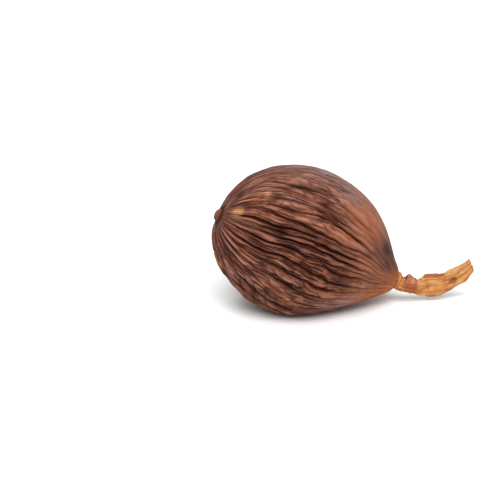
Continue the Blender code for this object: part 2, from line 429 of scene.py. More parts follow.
def curve(stations: tuple[tuple[float, ...], ...], share: float) -> list[float]:
    """A smooth curve through some stations.

    Args:
        stations: the tuples of numbers that it goes through, evenly spaced.
        share: how far along it, from 0 to 1.

    Returns:
        The numbers there.
    """
    last = len(stations) - 1
    reach = min(1.0, max(0.0, share)) * last
    start = min(int(reach), last - 1)
    t = reach - start
    near = (stations[min(last, max(0, start + k))] for k in (-1, 0, 1, 2))
    return [
        0.5 * (2 * q + (r - p) * t + (2 * p - 5 * q + 4 * r - w) * t**2 + (3 * q - p - 3 * r + w) * t**3)
        for p, q, r, w in zip(*near)
    ]


@dataclass(frozen=True)
class PodForm:
    """The husk's form and its main furrows, as the solids have them."""

    length: float = 37.3 * MM
    width: float = 27.1 * MM
    widest_share: float = 0.43
    blossom_end_power: float = 2.15
    neck_end_power: float = 0.89
    neck_share: float = 0.975
    dip: float = math.radians(25.9)
    axis_height: float = 12.0 * MM
    axis_ahead: float = 1.9 * MM
    blossom_end_droop: float = 1.84 * MM
    back_rise: float = 1.05 * MM
    back_rise_share: float = 0.72
    belly_sag: float = 0.6 * MM
    belly_sag_share: float = 0.38
    side_spread: float = 0.16
    lobe_depth: float = 0.015
    lobes: int = 3
    lobe_angle: float = math.radians(34)
    swell: float = 0.45 * MM
    swells: Pattern = Pattern(1.5, 2.5, 4)
    lump: float = 0.28 * MM
    lumps: Pattern = Pattern(5, 7, 4)
    nub_height: float = 0.5 * MM
    nub_radius: float = 1.1 * MM
    nub_dimple: float = 0.35 * MM
    nub_foot: float = 1.3
    nub_slope: Span = (0.7, 1.2)
    nub_dimple_place: float = 2.2
    slender_end: float = 6 * MM
    flat_spot_reach: Span = (3.5 * MM, 7 * MM)
    flat_spot_calm: float = 0.85
    seen_from: float = 0.1
    seen_to: float = 0.8
    furrows: int = 46
    furrow_depth: float = 0.85 * MM
    furrow_width: float = 0.17
    furrow_width_change: float = 0.5
    width_waves: float = 5
    furrow_sharpness: float = 1.3
    furrow_wobble: float = 0.012
    wobble_waves: float = 9
    fade_waves: float = 3.6
    furrow_fade: Span = (-0.32, 0.12)
    usual_space: float = math.radians(8)
    crest_height: float = 0.30 * MM
    sways: tuple[tuple[Pattern, float], ...] = (
        (Pattern(1.4, 2.6, 0), 0.12),
        (Pattern(4, 5, 3), 0.05),
        (Pattern(9, 11, 3), 0.018),
    )
    wrinkled: float = 0.9
    wrinkled_change: float = 0.6
    wrinkled_places: Pattern = Pattern(1.3, 2.6, 7)
    shoulder_share: float = 0.68
    shoulder_length: float = 0.17
    shoulder_angle: float = math.radians(20)
    shoulder_edge: float = 0.85
    shoulder_calm: float = 0.72
    neck_fade: Span = (0.80, 0.97)
    neck_calm: float = 0.5

    def outline(self, share: float) -> float:
        """The husk's outline.

        Args:
            share: the place along the pod.

        Returns:
            The radius, as a part of the greatest radius.
        """
        if share < self.widest_share:
            x = (self.widest_share - share) / self.widest_share
            return math.sqrt(max(0.0, 1 - x**self.blossom_end_power))
        x = (share - self.widest_share) / (1 - self.widest_share)
        return math.cos(math.pi / 2 * x) ** self.neck_end_power

    def share_at(self, radius: float) -> float:
        """The share of the length at which the blossom end has this radius."""
        x = (1 - (radius / (self.width / 2)) ** 2) ** (1 / self.blossom_end_power)
        return self.widest_share * (1 - x)

    def furrow_line(self, number: int, share: float) -> Span:
        """Where a furrow runs.

        Args:
            number: which furrow, counted round the pod.
            share: the place along it.

        Returns:
            Its angle, and its depth from 0 to 1.
        """
        turns, number = divmod(number, self.furrows)
        last_seen = len(SEEN_FURROWS) - 1
        if number <= last_seen:
            along = (share - self.seen_from) / (self.seen_to - self.seen_from)
            angle, depth = curve(SEEN_FURROWS[number], along)
            wobble = self.furrow_wobble * wander(number * 0.6, self.wobble_waves * share, 2)
            return math.radians(angle) + wobble + turns * TURN, max(0.0, depth)
        low = self.furrow_line(last_seen, share)[0]
        high = self.furrow_line(self.furrows, share)[0]
        part = (number - last_seen) / (self.furrows - last_seen)
        angle = low + (high - low) * part
        sway = sum(far * pattern.at(angle, share) for pattern, far in self.sways)
        depth = ease(*self.furrow_fade, wander(number * 3.17, self.fade_waves * share, number * 0.71))
        angle -= sway * math.sin(math.pi * part) ** 0.5
        return angle + turns * TURN, depth * self.ridge_strength(angle, share)

    def furrow_lines(self, share: float) -> list[Span]:
        """Every furrow's angle and depth at this share, and the first one's again, a turn on."""
        return [self.furrow_line(number, share) for number in range(self.furrows + 1)]

    def shoulder(self, angle: float, share: float) -> float:
        """1 on the smooth shoulder of the back near the stalk, 0 elsewhere."""
        lengthwise = bump(self.shoulder_share, self.shoulder_length, share)
        return lengthwise * ease(0, self.shoulder_edge, math.cos(angle - self.shoulder_angle))

    def ridge_strength(self, angle: float, share: float) -> float:
        """How strong the ridges are.

        Args:
            angle: the place round the pod.
            share: the place along it.

        Returns:
            About 1 where the skin is fully wrinkled, less on the smooth shoulder and towards the neck.
        """
        whole = self.wrinkled + self.wrinkled_change * self.wrinkled_places.at(angle, share)
        calm = 1 - self.shoulder_calm * self.shoulder(angle, share)
        return whole * calm * (1 - self.neck_calm * ease(*self.neck_fade, share))

    def furrow(self, line: Span, apart: float, space: float, share: float) -> float:
        """How deep the skin is in one furrow, from 0 to 1.

        Args:
            line: the furrow's angle and depth.
            apart: how far from it, as a part of the space between it and the next.
            space: that space, in radians.
            share: the place along the pod.

        Returns:
            The depth there.
        """
        width = 1 + self.furrow_width_change * wander(line[0] * 9, self.width_waves * share, 3.3)
        width *= self.furrow_width * self.usual_space / space
        return line[1] * math.exp(-((apart / width) ** self.furrow_sharpness))

    def laid_down(self, ahead: float, across: float, above: float) -> Vector:
        """A point given along the pod's own axis, turned and moved to where the pod lies."""
        middle = Vector((self.axis_ahead, 0, self.axis_height))
        return Matrix.Rotation(self.dip, 3, "Y") @ Vector((ahead, across, above)) + middle

    def ahead(self) -> Vector:
        """The direction of the pod's own axis, from the blossom end to the stalk."""
        return self.laid_down(1, 0, 0) - self.laid_down(0, 0, 0)

    def surface(self, share: float, angle: float, out: float) -> Vector:
        """A place on the husk.

        Args:
            share: the place along the pod.
            angle: the place round it.
            out: how far it is moved out from the smooth form.

        Returns:
            The place.
        """
        lobe = 1 + self.lobe_depth * math.cos(self.lobes * (angle - self.lobe_angle))
        radius = self.width / 2 * self.outline(share) * lobe
        sag = self.belly_sag * bump(self.belly_sag_share, self.side_spread, share)
        radius += sag * max(0.0, -math.cos(angle))
        radius += out
        rise = self.back_rise * bump(self.back_rise_share, self.side_spread, share)
        if share < self.widest_share:
            rise -= self.blossom_end_droop * (1 - self.outline(share))
        return self.laid_down(
            (share - 0.5) * self.length, -radius * math.sin(angle), radius * math.cos(angle) + rise
        )

    def neck(self) -> Vector:
        """The middle of the husk's cut-off end, where the stalk starts."""
        return self.surface(self.neck_share, 0, -self.width / 2 * self.outline(self.neck_share))


class Tint(Enum):
    """The kinds of stain on the husk, by the name that the finish reads them under. Most grey patches are a
    painted sheen, and one broad smudge is painted shade.
    """

    RUST = "rust"
    SMUDGE_AND_SHADE = "smudge_and_shade"
    WORN = "worn"
    GREY_AND_SHEEN = "grey_and_sheen"


@dataclass(frozen=True)
class Stain:
    """A soft patch of another colour on the husk."""

    tint: Tint
    share: float
    degrees: float
    half_length: float
    half_width: float
    strength: float
    end: float = 6.0

    def at(self, angle: float, share: float) -> float:
        """How strong the stain is at a place.

        Args:
            angle: the place round the pod.
            share: the place along it.

        Returns:
            Its strength in its middle, fading to 0.
        """
        along = (share - self.share) / self.half_length
        around = math.degrees(turned(angle - math.radians(self.degrees))) / self.half_width
        apart = along * along + around * around
        return self.strength * math.exp(-apart) if apart < self.end else 0.0


STAINS = (
    Stain(Tint.RUST, 0.64, 38, 0.14, 17, 1.0),
    Stain(Tint.RUST, 0.50, 67, 0.06, 4, 0.8),
    Stain(Tint.RUST, 0.575, 74, 0.05, 3, 0.8),
    Stain(Tint.RUST, 0.58, 92, 0.09, 3, 0.8),
    Stain(Tint.RUST, 0.66, 78, 0.08, 3, 0.7),
    Stain(Tint.RUST, 0.92, 52, 0.02, 10, 0.9),
    Stain(Tint.RUST, 0.395, 60, 0.05, 6, 0.9),
    Stain(Tint.RUST, 0.134, 27, 0.04, 3, 0.9),
    Stain(Tint.RUST, 0.09, 46, 0.025, 8, 0.8),
    Stain(Tint.RUST, 0.33, 79, 0.03, 3, 0.7),
    Stain(Tint.RUST, 0.55, -30, 0.08, 15, 0.7),
    Stain(Tint.RUST, 0.45, -95, 0.08, 9, 0.6),
    Stain(Tint.RUST, 0.62, -140, 0.08, 12, 0.6),
    Stain(Tint.RUST, 0.35, 170, 0.08, 12, 0.5),
    Stain(Tint.RUST, 0.20, -60, 0.06, 8, 0.5),
    Stain(Tint.RUST, 0.30, 122, 0.06, 8, 0.5),
    Stain(Tint.SMUDGE_AND_SHADE, 0.81, 47, 0.07, 18, 0.95),
    Stain(Tint.SMUDGE_AND_SHADE, 0.87, 35, 0.07, 24, 0.85),
    Stain(Tint.SMUDGE_AND_SHADE, 0.84, 60, 0.06, 15, 0.85),
    Stain(Tint.SMUDGE_AND_SHADE, 0.74, 60, 0.06, 13, 0.55),
    Stain(Tint.SMUDGE_AND_SHADE, 0.60, 100, 0.06, 9, 0.75),
    Stain(Tint.SMUDGE_AND_SHADE, 0.655, 105, 0.03, 4, 0.7),
    # This broad, faint patch low on the flank is painted shade, as if other pods stood beside it; the other
    # smudges are dark patches of the skin.
    Stain(Tint.SMUDGE_AND_SHADE, 0.45, 97, 0.14, 13, 0.35),
    Stain(Tint.SMUDGE_AND_SHADE, 0.55, 96, 0.06, 4, 0.7),
    Stain(Tint.SMUDGE_AND_SHADE, 0.168, 51, 0.02, 4, 0.9),
    Stain(Tint.SMUDGE_AND_SHADE, 0.037, 33, 0.016, 9, 0.9),
    Stain(Tint.SMUDGE_AND_SHADE, 0.25, 36, 0.045, 2.5, 0.9),
    Stain(Tint.SMUDGE_AND_SHADE, 0.303, 39, 0.03, 4, 0.8),
    Stain(Tint.SMUDGE_AND_SHADE, 0.40, 45.5, 0.03, 4, 0.8),
    Stain(Tint.SMUDGE_AND_SHADE, 0.24, 77, 0.03, 3.5, 0.9),
    Stain(Tint.SMUDGE_AND_SHADE, 0.30, 87, 0.04, 3.5, 0.9),
    Stain(Tint.SMUDGE_AND_SHADE, 0.152, 89, 0.03, 4, 0.8),
    Stain(Tint.SMUDGE_AND_SHADE, 0.80, -50, 0.05, 18, 0.7),
    Stain(Tint.SMUDGE_AND_SHADE, 0.70, -120, 0.06, 12, 0.6),
    Stain(Tint.SMUDGE_AND_SHADE, 0.15, -100, 0.05, 14, 0.7),
    Stain(Tint.SMUDGE_AND_SHADE, 0.40, -60, 0.08, 8, 0.4),
    Stain(Tint.SMUDGE_AND_SHADE, 0.30, 150, 0.07, 10, 0.5),
    Stain(Tint.WORN, 0.047, 68.5, 0.020, 8.5, 1.2),
    Stain(Tint.WORN, 0.132, 44, 0.014, 3.5, 0.55),
    Stain(Tint.WORN, 0.135, 56, 0.012, 3, 0.45),
    Stain(Tint.WORN, 0.05, -120, 0.015, 12, 0.9),
    Stain(Tint.WORN, 0.15, -40, 0.013, 3, 0.6),
    Stain(Tint.WORN, 0.62, -75, 0.012, 2.5, 0.5),
    Stain(Tint.WORN, 0.10, 160, 0.014, 4, 0.6),
    # The grey patches over the top of the back are a painted sheen, and the small one at 59.5 degrees is a
    # painted highlight.
    Stain(Tint.GREY_AND_SHEEN, 0.42, 0, 0.26, 26, 0.85),
    Stain(Tint.GREY_AND_SHEEN, 0.50, 22, 0.10, 14, 0.70),
    Stain(Tint.GREY_AND_SHEEN, 0.30, 24, 0.08, 6, 0.50),
    Stain(Tint.GREY_AND_SHEEN, 0.36, 59.5, 0.02, 2.5, 0.45),
    Stain(Tint.GREY_AND_SHEEN, 0.07, 23, 0.03, 8, 0.3),
    Stain(Tint.GREY_AND_SHEEN, 0.70, 135, 0.09, 10, 0.7),
    Stain(Tint.GREY_AND_SHEEN, 0.42, -25, 0.13, 20, 0.8),
    Stain(Tint.GREY_AND_SHEEN, 0.52, -112, 0.10, 10, 0.6),
    Stain(Tint.GREY_AND_SHEEN, 0.65, 180, 0.08, 12, 0.6),
)


# How far a ragged pattern breaks up each kind of stain: the part that is always there, and what the
# pattern adds.
RAGGED = {
    Tint.RUST: (0.55, 0.9),
    Tint.SMUDGE_AND_SHADE: (0.8, 0.4),
    Tint.WORN: (0.5, 0.9),
    Tint.GREY_AND_SHEEN: (0.55, 0.9),
}


@dataclass(frozen=True)
class HuskSkin:
    """The husk's finish: dry and leathery, dark with painted shade in the furrows, and lighter on the ridges,
    partly worn and partly a painted highlight.
    """

    dark: Colour = (0.045, 0.0105, 0.006)
    brown: Colour = (0.175, 0.054, 0.028)
    warm: Colour = (0.330, 0.104, 0.047)
    rust: Colour = (0.290, 0.091, 0.040)
    # Greyish patches of the skin, and the colour of the painted sheen along the back.
    grey_and_sheen: Colour = (0.285, 0.180, 0.164)
    # Dark smudges of the skin, and the colour of a broad painted shade low on the flank.
    smudge_and_shade: Colour = (0.034, 0.0125, 0.0105)
    # The crest colour lightens the ridge tops: partly worn skin, partly a painted highlight.
    crest: Colour = (0.400, 0.170, 0.108)
    neck: Colour = (0.430, 0.126, 0.040)
    worn: Colour = (0.480, 0.215, 0.085)
    shade: Colour = (0.022, 0.0046, 0.0026)
    gloss: float = 0.09
    roughness: Reach = Reach(0.3, 1.3, 0.46, 0.70)
    streaks: Grain = Grain(1500, 0.12, detail=4.0)
    hairs: Grain = Grain(4200, 0.09)
    patches: Grain = Grain(150, detail=4.0)
    blotches: Grain = Grain(520, 0.28)
    flecks: Grain = Grain(1250, 0.24)
    hues: Grain = Grain(330, 0.45, rough=0.55)
    patch_part: float = 0.30
    tone_part: float = 0.28
    blotch_part: float = 0.42
    mottle: Reach = Reach(0.34, 0.66)
    brown_at: float = 0.45
    rusty_hues: Reach = Reach(0.50, 0.66)
    grey_hues: Reach = Reach(0.48, 0.34, most=0.4)
    warm_streaks: Reach = Reach(0.48, 0.72, most=0.45)
    dark_flecks: Reach = Reach(0.50, 0.36, most=0.68)
    knotty_places: Reach = Reach(0.0, 1.0, least=0.2)
    worn_and_highlit_flecks: Reach = Reach(0.39, 0.61, 0.05, 0.85)
    dark_hairs: Reach = Reach(0.40, 0.68, most=0.30)
    dark_furrows: Reach = Reach(0.03, 0.50, most=0.97)
    streak_height: float = 0.6
    hair_height: float = 0.4
    bump_depth: float = 0.30 * MM
    bump: float = 0.7

    def make(self) -> bpy.types.Material:
        """Builds the material.

        Returns:
            The material.
        """
        skin = Weave("husk_skin")
        grain = skin.kept("grain", "Vector")
        streak = skin.clouds(grain, self.streaks)
        hair = skin.clouds(grain, self.hairs)
        patch = skin.clouds(skin.place(), self.patches)
        blotch = skin.clouds(grain, self.blotches)
        fleck = skin.clouds(grain, self.flecks)
        hue = skin.clouds(grain, self.hues)
        mottle = skin.plus(skin.times(patch, self.patch_part), skin.times(skin.kept("tone"), self.tone_part))
        mottle = skin.plus(mottle, skin.times(blotch, self.blotch_part))
        base = skin.ramp(
            skin.spread(mottle, self.mottle),
            ((0.0, self.dark), (self.brown_at, self.brown), (1.0, self.warm)),
        )
        base = skin.mixed(skin.spread(hue, self.rusty_hues), base, self.rust)
        base = skin.mixed(skin.spread(hue, self.grey_hues), base, self.grey_and_sheen)
        base = skin.mixed(skin.spread(streak, self.warm_streaks), base, self.warm)
        base = skin.mixed(skin.kept("rust"), base, self.rust)
        knotty = skin.spread(skin.step("SUBTRACT", 1.0, skin.kept("calm")), self.knotty_places)
        base = skin.mixed(skin.times(skin.spread(fleck, self.dark_flecks), knotty), base, self.dark)
        # Ridge tops lightened, broken up by flecks: partly worn skin, partly a painted highlight.
        worn_and_highlit_crest = skin.times(skin.kept("crest"), skin.spread(fleck, self.worn_and_highlit_flecks))
        base = skin.mixed(worn_and_highlit_crest, base, self.crest)
        # Painted sheen along the top of the back, from the grey patches, and grey tint elsewhere.
        base = skin.mixed(skin.kept("grey_and_sheen"), base, self.grey_and_sheen)
        base = skin.mixed(skin.kept("neck"), base, self.neck)
        # Dark smudges of the skin, and a broad painted shade low on the flank.
        base = skin.mixed(skin.kept("smudge_and_shade"), base, self.smudge_and_shade)
        base = skin.mixed(skin.spread(hair, self.dark_hairs), base, self.shade)
        # Painted shade: the furrows, creases and fine cracks are darkened towards the shade colour.
        base = skin.mixed(skin.spread(skin.kept("furrow"), self.dark_furrows), base, self.shade)
        base = skin.mixed(skin.kept("worn"), base, self.worn)
        rough = skin.spread(skin.plus(fleck, skin.kept("furrow")), self.roughness)
        skin.dress(base, rough, self.gloss)
        height = skin.plus(skin.times(streak, self.streak_height), skin.times(hair, self.hair_height))
        skin.relief(height, self.bump_depth, self.bump)
        return skin.material


@dataclass
class SkinSample:
    """What the husk's skin is like at one vertex."""

    angle: float
    flow: float
    out: float
    furrow: float
    crest: float
    tone: float


@dataclass
class Husk:
    """The whole husk, with its ridges, furrows and wrinkles."""

    form: PodForm = field(default_factory=PodForm)
    finish: HuskSkin = field(default_factory=HuskSkin)
    # The mesh.
    columns_per_furrow: int = 13
    rings: int = 160
    nub_rings: int = 10
    end_crowding: float = 0.5
    # The furrows' fine wander, and how their depth and the painted shade of their dark lines vary.
    crinkles: tuple[Span, ...] = ((11, 0.016), (25, 0.012))
    breaks: float = 0.38
    break_waves: float = 17
    furrow_squeeze: float = 1.25
    shade_squeeze: float = 0.5
    shade_part: float = 0.30
    # The sharp cleft at the bottom of a furrow, and the crest between two.
    cleft_depth: float = 0.30 * MM
    cleft_width: float = 0.06
    crest_flatness: float = 0.38
    crest_part: float = 0.8
    crest_creased: float = 0.7
    crest_calm: float = 0.4
    # Fine creases along each ridge.
    creases: Span = (0.34, 0.69)
    crease_depth: float = 0.36 * MM
    crease_width: float = 0.085
    crease_sharpness: float = 1.4
    crease_wander: float = 0.20
    crease_waves: float = 10
    crease_breaks: float = 8
    crease_fade: Span = (-0.24, 0.12)
    crease_calm: float = 0.75
    crease_least: float = 0.06
    crease_dark: float = 0.8
    # Thin lengthwise lines, crumpled lines across them, beads and grit.
    strands: Pattern = Pattern(21, 9, 5)
    strand_depth: float = 0.17 * MM
    strand_from: float = 0.45
    strand_least: float = 0.25
    strand_dark: float = 0.45
    strand_dark_from: float = 0.55
    strand_dark_calm: float = 0.5
    crumples: Pattern = Pattern(10, 15, 4)
    crumple_depth: float = 0.13 * MM
    crumple_from: float = 0.4
    crumple_calm: float = 0.9
    crumple_dark: float = 0.35
    crumple_dark_from: float = 0.7
    beads: Pattern = Pattern(22, 34, 0)
    bead_depth: float = 0.07 * MM
    grit: Pattern = Pattern(34, 60, 8)
    grit_depth: float = 0.03 * MM
    grit_calm: float = 0.7
    # How light the skin is: it varies at random, and painted shade darkens the blossom end.
    tone: float = 0.5
    tones: tuple[tuple[Pattern, float], ...] = ((Pattern(7, 4.5, 17), 0.5), (Pattern(14, 10, 40), 0.45))
    blossom_end_shade: float = 0.30
    blossom_end_shade_to: Span = (0.08, 0.42)
    # Where it is smoother: on the shoulder, along the back and towards the neck.
    shoulder_smooth: float = 1.25
    back_smooth: float = 0.75
    back_calm: float = 0.62
    back_angle: float = math.radians(-13)
    back_edge: float = 0.68
    back_from: Span = (0.06, 0.30)
    neckward: Span = (0.46, 0.74)
    neckward_calm: float = 0.9
    furrow_fading: Span = (0.52, 0.84)
    furrow_faded: float = 0.55
    slender_to: float = 5 * MM
    slender_least: float = 0.35
    # The withered scar, the rusty neck and the ragged stains.
    scar_pit: float = 0.35
    scar_pit_dark: float = 0.8
    scar_rim: float = 1.35
    scar_rim_width: float = 0.22
    scar_rim_dark: float = 0.55
    scar_warm: float = 0.55
    scar_warm_from: float = 0.5
    neck_from: float = 0.905
    neck_lean: float = 0.035
    neck_rag: float = 0.03
    neck_streaks: Pattern = Pattern(18, 3, 11)
    neck_faint: float = 0.35
    neck_faint_length: float = 0.15
    neck_full: float = 0.5
    neck_full_length: float = 0.03
    rag: float = 0.5
    rag_change: float = 0.8
    rags: Pattern = Pattern(16, 14, 21)
    worn_edge: Span = (0.05, 0.9)
    worn_in_furrow: float = 0.6

    def ring_share(self, ring: int) -> float:
        """Where a ring of the mesh lies: the first few go round the nub, and both ends are crowded.

        Args:
            ring: which ring, 0 at the blossom end's pole.

        Returns:
            Its share of the length.
        """
        form = self.form
        first = form.share_at(form.nub_foot * form.nub_radius)
        if ring <= self.nub_rings:
            return form.share_at(form.nub_foot * form.nub_radius * ring / self.nub_rings)
        t = min(1.0, (ring - self.nub_rings) / (self.rings - 1 - self.nub_rings))
        crowded = t + self.end_crowding * ((1 - math.cos(math.pi * t)) / 2 - t)
        return first + (form.neck_share - first) * crowded

    def crinkled(self, lines: list[Span], share: float) -> list[Span]:
        """The furrows with their fine wander added.

        Args:
            lines: each furrow's angle and depth.
            share: the place along the pod.

        Returns:
            The same, each moved a little sideways and made deeper here and shallower there.
        """
        moved = []
        for number, (angle, depth) in enumerate(lines):
            seed = (number % self.form.furrows) * 7.7
            far = sum(size * wander(seed, waves * share, waves) for waves, size in self.crinkles)
            broken = 1 + self.breaks * wander(seed * 1.3, self.break_waves * share, 60)
            moved.append((angle + far, min(1.0, depth * broken * self.relief(angle, share))))
        return moved

    def back(self, angle: float, share: float) -> float:
        """1 along the smooth top of the back, 0 elsewhere."""
        across = ease(self.back_edge, 1, math.cos(angle - self.back_angle))
        return across * ease(*self.back_from, share)

    def relief(self, angle: float, share: float) -> float:
        """How much of the relief is left: less along the top of the back."""
        return 1 - self.back_calm * self.back(angle, share)

    def calm(self, angle: float, share: float) -> float:
        """How calm the skin is.

        Args:
            angle: the place round the pod.
            share: the place along it.

        Returns:
            1 where it has only fine lengthwise lines, 0 where it is knotty too.
        """
        most = max(
            self.shoulder_smooth * self.form.shoulder(angle, share),
            self.neckward_calm * ease(*self.neckward, share),
            self.back_smooth * self.back(angle, share),
        )
        return min(1.0, most)

    def crease(self, number: int, part: float, place: float, share: float, narrow: float) -> float:
        """A fine crease along a ridge, which wanders and fades in and out.

        Args:
            number: which ridge.
            part: the place across it, from 0 to 1.
            place: where the crease usually is, from 0 to 1.
            share: the place along the pod.
            narrow: how narrow the ridge is.

        Returns:
            0 beside it, up to 1 in it.
        """
        seed = number * 2.3 + place * 50
        middle = place + self.crease_wander * wander(seed, self.crease_waves * share, 11)
        present = ease(*self.crease_fade, wander(seed * 1.7, self.crease_breaks * share, 30))
        apart = abs(part - middle) / (self.crease_width * narrow)
        return present * math.exp(-(apart**self.crease_sharpness))

    def skin(self, lines: list[Span], phase: float, share: float) -> SkinSample:
        """The relief and the marks at one place.

        Args:
            lines: the furrows' angles and depths at this share.
            phase: the place among the furrows.
            share: the place along the pod.

        Returns:
            What the skin is like there.
        """
        form = self.form
        number = int(phase)
        part = phase - number
        near, far = lines[number], lines[number + 1]
        space = far[0] - near[0]
        angle = near[0] + space * part
        flow = TURN * phase / form.furrows
        main, shaded = (
            form.furrow(near, squeeze * part, space, share)
            + form.furrow(far, squeeze * (1 - part), space, share)
            for squeeze in (self.furrow_squeeze, self.shade_squeeze)
        )
        wrinkled = form.ridge_strength(angle, share) * self.relief(angle, share)
        calm = self.calm(angle, share)
        narrow = form.usual_space / space
        cleft_width = self.cleft_width * narrow
        cleft = max(near[1] * bump(0, cleft_width, part), far[1] * bump(1, cleft_width, part))
        crest = (0.5 - 0.5 * math.cos(TURN * part)) ** self.crest_flatness
        crease = max(self.crease(number, part, place, share, narrow) for place in self.creases)
        crease *= 1 - self.crease_calm * calm
        strand = self.strands.lines(flow, share)
        crumple = self.crumples.lines(angle, share)
        crumpled = wrinkled * (1 - self.crumple_calm * calm)
        out = wrinkled * self.crest_part * form.crest_height * crest * space / form.usual_space
        out += wrinkled * form.lump * form.lumps.at(angle, share) + form.swell * form.swells.at(angle, share)
        out -= form.furrow_depth * main + self.cleft_depth * cleft
        out -= self.crease_depth * crease * from_least(self.crease_least, wrinkled)
        out -= self.strand_depth * ease(self.strand_from, 1, strand) * from_least(self.strand_least, wrinkled)
        out -= self.crumple_depth * ease(self.crumple_from, 1, crumple) * crumpled
        out += self.bead_depth * wrinkled * (1 - calm) * self.beads.at(flow, share)
        out += self.grit_depth * (1 - self.grit_calm * calm) * self.grit.at(flow, share)
        # The dark mark is painted shade, deepest in the furrows and fainter in the creases, strands and
        # crumples.
        strand_dark = self.strand_dark * ease(self.strand_dark_from, 1, strand)
        dark = max(
            main,
            self.shade_part * shaded,
            self.crease_dark * crease * wrinkled,
            strand_dark * wrinkled * (1 - self.strand_dark_calm * calm),
            self.crumple_dark * ease(self.crumple_dark_from, 1, crumple) * wrinkled * (1 - calm),
        )
        # The crest mark lightens the ridge tops: partly worn skin, partly a painted highlight.
        crest *= max(0.0, 1 - main) * (1 - self.crest_creased * crease) * (1 - self.crest_calm * calm)
        tone = self.tone + sum(change * pattern.at(flow, share) for pattern, change in self.tones)
        # Painted shade darkens the skin towards the blossom end.
        tone -= self.blossom_end_shade * (1 - ease(*self.blossom_end_shade_to, share))
        return SkinSample(angle, flow, out, dark, crest, tone)

    def build(self) -> bpy.types.Object:
        """Makes the husk from a UV sphere whose rings and columns follow the pod's furrows.

        Returns:
            The finished husk.
        """
        form = self.form
        half = form.width / 2
        columns = form.furrows * self.columns_per_furrow
        bpy.ops.object.select_all(action="DESELECT")
        bpy.ops.mesh.primitive_uv_sphere_add(segments=columns, ring_count=self.rings, radius=half)
        husk = named(bpy.context.object, "husk_skin")
        names = ("furrow", "crest", "tone", "calm", "neck", *(tint.value for tint in Tint))
        marks: Marks = {name: [] for name in names}
        grain: list[Vector] = []
        shares = [self.ring_share(ring) for ring in range(self.rings + 1)]
        lines = [self.crinkled(form.furrow_lines(share), share) for share in shares]
        for vertex in husk.data.vertices:
            ring = round(down(vertex.co.z / half) * self.rings)
            column = round(math.atan2(vertex.co.y, vertex.co.x) / TURN * columns) % columns
            share = shares[ring]
            sample = self.skin(lines[ring], column / self.columns_per_furrow, share)
            vertex.co = self.shaped(ring, share, sample)
            self.mark(marks, share, sample)
            grain.append(on_tube(half, sample.flow, share * form.length))
        keep(husk, marks, grain)
        return finished(husk, self.finish.make())

    def shaped(self, ring: int, share: float, sample: SkinSample) -> Vector:
        """Where a vertex goes.

        Args:
            ring: the ring of the mesh, 0 at the blossom end's pole.
            share: the place along the pod.
            sample: the skin there.

        Returns:
            The place, no lower than the flat spot.
        """
        form = self.form
        if ring == self.rings:
            return form.neck()
        radius = form.width / 2 * form.outline(share)
        smooth = form.surface(share, sample.angle, 0)
        near_rest = 1 - ease(*form.flat_spot_reach, math.hypot(smooth.x, smooth.y))
        calm = form.flat_spot_calm * near_rest if smooth.z < form.width / 4 else 0
        out = sample.out * ease(0, form.slender_end, radius) * (1 - calm)
        nub = form.nub_height * (1 - ease(*form.nub_slope, radius / form.nub_radius))
        dimple = form.nub_dimple * bump(form.nub_dimple_place, 1, radius / form.nub_radius)
        point = form.surface(share, sample.angle, out) - form.ahead() * (nub - dimple)
        point.z = max(0.0, point.z)
        return point

    def mark(self, marks: Marks, share: float, sample: SkinSample) -> None:
        """Adds the marks of one vertex, which the finish reads.

        Args:
            marks: the marks so far, by name.
            share: the place along the pod.
            sample: the skin there.
        """
        form = self.form
        angle, flow = sample.angle, sample.flow
        radius = form.width / 2 * form.outline(share)
        slender = ease(0, self.slender_to, radius)
        scar = radius / form.nub_radius
        opened = 1 - self.furrow_faded * ease(*self.furrow_fading, share) + self.back(angle, share)
        withered = max(
            self.scar_pit_dark * bump(0, self.scar_pit, scar),
            self.scar_rim_dark * bump(self.scar_rim, self.scar_rim_width, scar),
        )
        # The furrow mark carries the painted shade of the furrows, and also darkens the withered scar.
        furrow = sample.furrow * opened * from_least(self.slender_least, slender)
        marks["furrow"].append(min(1.0, max(furrow, withered)))
        marks["crest"].append(sample.crest * slender)
        marks["tone"].append(sample.tone)
        marks["calm"].append(self.calm(angle, share))
        start = self.neck_from + self.neck_lean * math.cos(angle)
        start += self.neck_rag * self.neck_streaks.at(flow, share)
        marks["neck"].append(
            self.neck_faint * ease(start - self.neck_faint_length, start, share)
            + self.neck_full * ease(start, start + self.neck_full_length, share)
            + self.scar_warm * (1 - ease(self.scar_warm_from, self.scar_rim, scar))
        )
        ragged = self.rag + self.rag_change * self.rags.at(flow, share)
        for tint in Tint:
            strength = max(stain.at(angle, share) for stain in STAINS if stain.tint is tint)
            least, more = RAGGED[tint]
            strength *= least + more * ragged
            if tint is Tint.WORN:
                strength = ease(*self.worn_edge, strength) * (1 - self.worn_in_furrow * sample.furrow)
            marks[tint.value].append(min(1.0, max(0.0, strength)))


# How strongly the features of the stalk show in each mark that its finish reads.
STALK_MARKS = {
    "shade": {"pit": 0.85, "knot": 0.20, "valley": 0.50},
    "bark": {"strip": 0.9, "knot": 0.60, "ring": 0.45},
    "pale": {"tip": 0.45},
    "foot": {"foot": 0.9, "knot": 0.5},
    "band": {"bands": 1.0},
}


